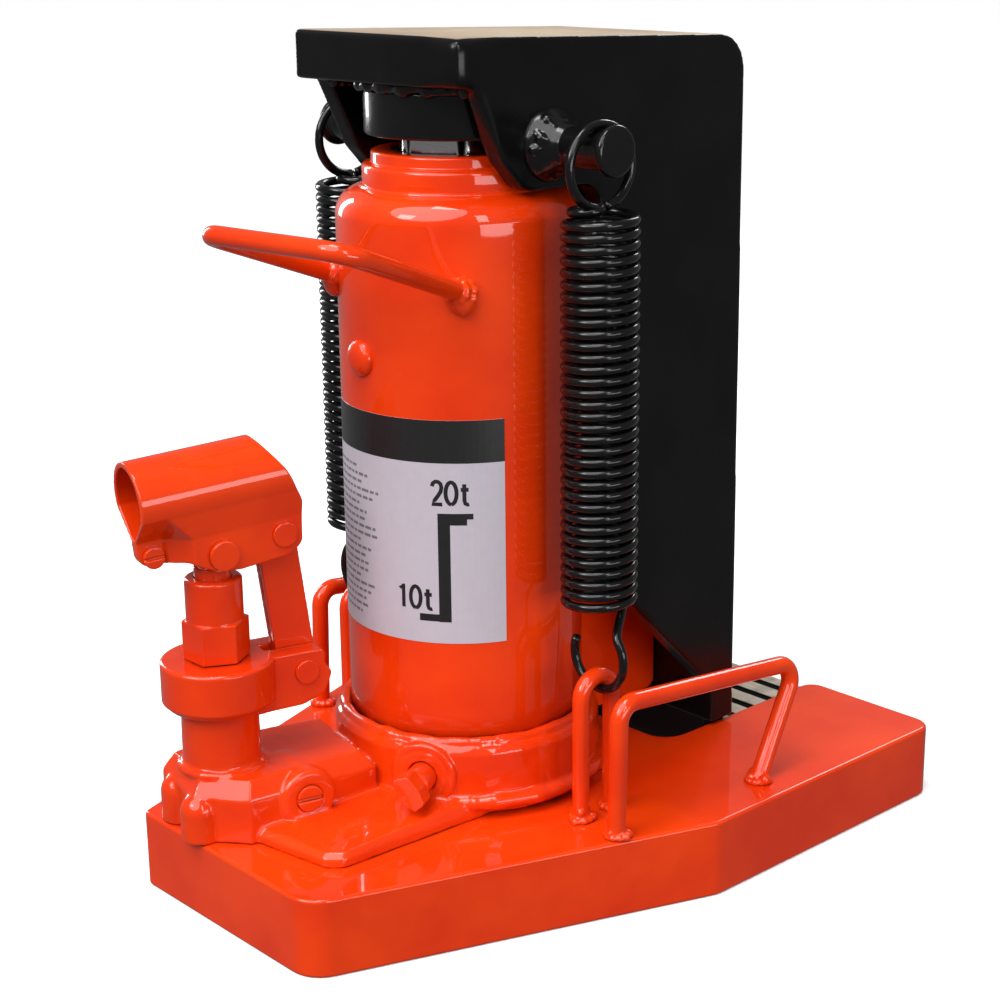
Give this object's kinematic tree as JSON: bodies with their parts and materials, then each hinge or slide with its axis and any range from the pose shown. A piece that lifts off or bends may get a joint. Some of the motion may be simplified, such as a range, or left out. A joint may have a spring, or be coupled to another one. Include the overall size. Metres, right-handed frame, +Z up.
{
  "type": "hydraulic toe jack",
  "caption": "Hydraulic toe jack: bottle jack on a forked base, with a hand pump, release valve and a black spring-returned carriage that lifts on its head plate or on a low toe.",
  "frame": {"origin": "on the ground under the axis of the ram", "axes": "+Z up along the ram, +Y towards the toe, -Y towards the hand pump, +X to the release valve's side"},
  "size_m": [0.2474, 0.35, 0.3679],
  "materials": {
    "paint": "gloss orange-red enamel",
    "black_paint": "gloss black enamel",
    "spring_wire": "gloss black spring wire",
    "steel": "ground steel",
    "chrome_rod": "hard chrome",
    "seal": "matt",
    "copper": "satin",
    "label": "printed foil"
  },
  "bodies": {
    "base": {"base_plate": "paint", "valve_body": "paint", "tank": "paint", "tank_gasket": "seal", "top_nut": "paint", "rod_wiper": "seal", "main_cylinder": "steel", "cylinder_gasket": "copper", "guide_block": "paint", "spring_left": "spring_wire", "spring_right": "spring_wire", "spring_eye_left": "paint", "spring_eye_right": "paint", "side_handle_left": "paint", "side_handle_right": "paint", "carry_handle": "paint", "filler_plug": "paint", "name_label": "label", "pump_cylinder": "steel", "pump_seal": "seal", "gland_nut": "paint", "relief_plug": "paint", "relief_spring": "steel", "relief_ball": "steel", "check_plugs": "steel", "check_balls": "steel", "release_ball": "steel"},
    "carriage": {"ram": "chrome_rod", "ram_piston": "steel", "ram_seal": "seal", "ram_cap": "black_paint", "head_plate": "black_paint", "side_plate_left": "black_paint", "side_plate_right": "black_paint", "back_plate": "black_paint", "toe": "black_paint", "spring_post_left": "black_paint", "spring_post_right": "black_paint"},
    "swivel": {"swivel_ring": "paint", "lower_link_pin": "paint"},
    "piston": {"pump_piston": "paint", "piston_pin": "paint"},
    "link": {"link_plates": "paint"},
    "socket": {"handle_socket": "paint", "upper_link_pin": "paint", "clamp_screw": "paint"},
    "valve": {"release_valve": "paint"}
  },
  "joints": [
    {"name": "lift", "type": "slide", "parent": "base", "child": "carriage", "axis": [0, 0, 1], "range_m": [0, 0.14], "stiffness_N_per_m": 6200, "springref_m": -0.01, "deforming": ["spring_left", "spring_right"]},
    {"name": "pump_swivel", "type": "hinge", "parent": "base", "child": "swivel", "pos_m": [-0.0275, -0.117, 0.1], "axis": [0, 0, 1], "range_deg": [-135, 135]},
    {"name": "link_hinge", "type": "hinge", "parent": "swivel", "child": "link", "pos_m": [-0.01938, -0.08244, 0.1015], "axis": [-0.9735, 0.2288, 0], "range_deg": [-0.9, 0]},
    {"name": "socket_hinge", "type": "hinge", "parent": "link", "child": "socket", "pos_m": [-0.02121, -0.09023, 0.165], "axis": [-0.9735, 0.2288, 0], "range_deg": [0, 30]},
    {"name": "piston_slide", "type": "slide", "parent": "swivel", "child": "piston", "axis": [0, 0, 1], "range_m": [0, 0.0141]},
    {"name": "valve_turn", "type": "hinge", "parent": "base", "child": "valve", "pos_m": [0.03, -0.05196, 0.0545], "axis": [0.5, -0.866, 0], "range_deg": [0, 180]}
  ],
  "couplings": [
    {"joint": "link_hinge", "follows": "socket_hinge", "ratio": -0.021},
    {"joint": "piston_slide", "follows": "socket_hinge", "m_per_rad": 0.0267}
  ]
}
